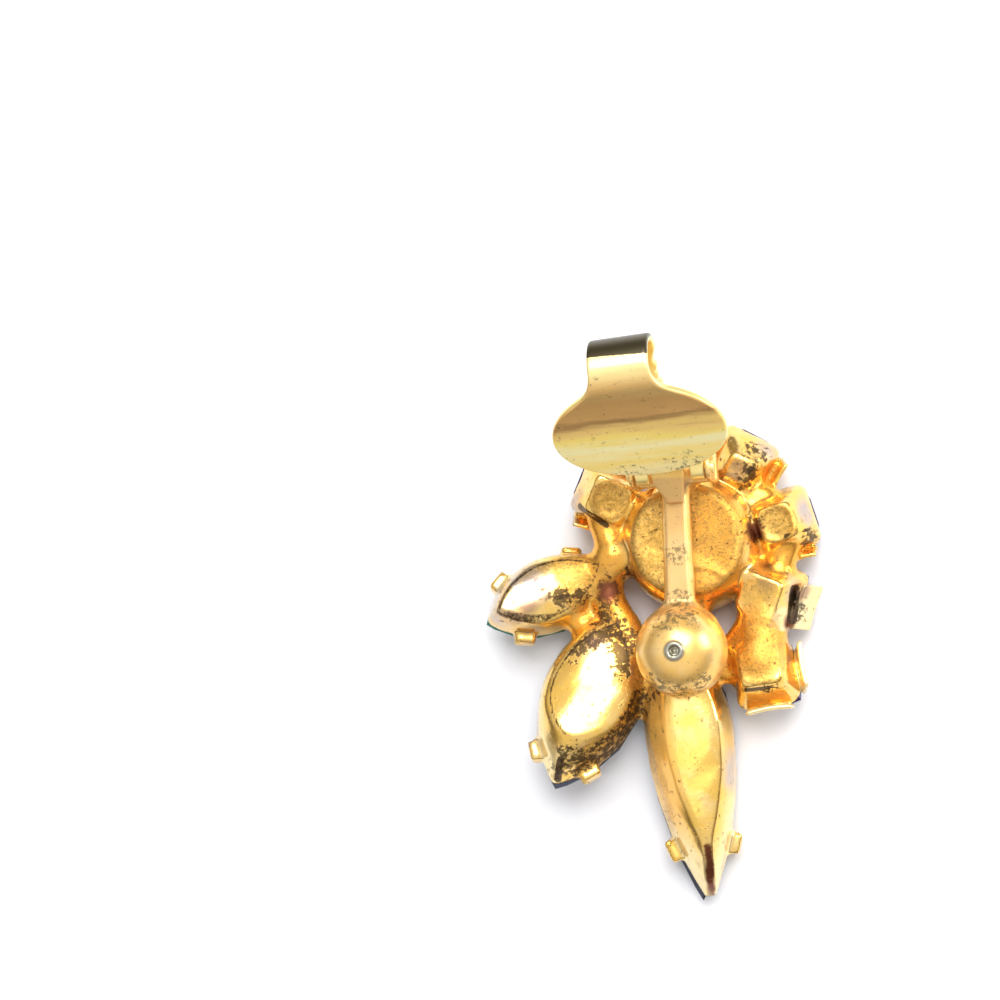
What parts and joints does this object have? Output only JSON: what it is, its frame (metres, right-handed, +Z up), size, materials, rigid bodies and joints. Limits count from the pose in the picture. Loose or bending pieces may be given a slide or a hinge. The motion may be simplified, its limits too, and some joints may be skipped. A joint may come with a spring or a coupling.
{
  "type": "clip-on earring",
  "caption": "Vintage gold-plated cluster earring lying face down: cups with glass stones in front, a flat stem, a domed pad and an open hinged clip lever behind.",
  "frame": {"origin": "centre of the bounding box in X and Y, on the floor plane that the stones' tables touch", "axes": "+Z up from the floor, out of the back of the earring; +Y along the stem from the domed pad to the hinge; +X to the right seen from behind"},
  "size_m": [0.0233, 0.036, 0.0228],
  "materials": {
    "gold_setting": "gold-plated, polished, with tarnish",
    "gold_lever": "gold-plated, polished, ridged paddle",
    "glass_round": "faceted, foiled behind",
    "glass_long": "faceted, foiled behind",
    "glass_medium": "faceted, foiled behind",
    "glass_small": "faceted, foiled behind",
    "glass_square": "faceted, foiled behind"
  },
  "bodies": {
    "cluster": {"setting": "gold_setting", "round_stone": "glass_round", "long_stone": "glass_long", "medium_stone": "glass_medium", "small_stone": "glass_small", "square_stone_a": "glass_square", "square_stone_b": "glass_square", "square_stone_c": "glass_square", "square_stone_d": "glass_square", "square_stone_e": "glass_square"},
    "lever": {"clip_lever": "gold_lever"}
  },
  "joints": [
    {"name": "clip_hinge", "type": "hinge", "parent": "cluster", "child": "lever", "pos_m": [0.0024, 0.0109, 0.008], "axis": [0.9986, 0.0523, 0], "range_deg": [0, 83]}
  ]
}
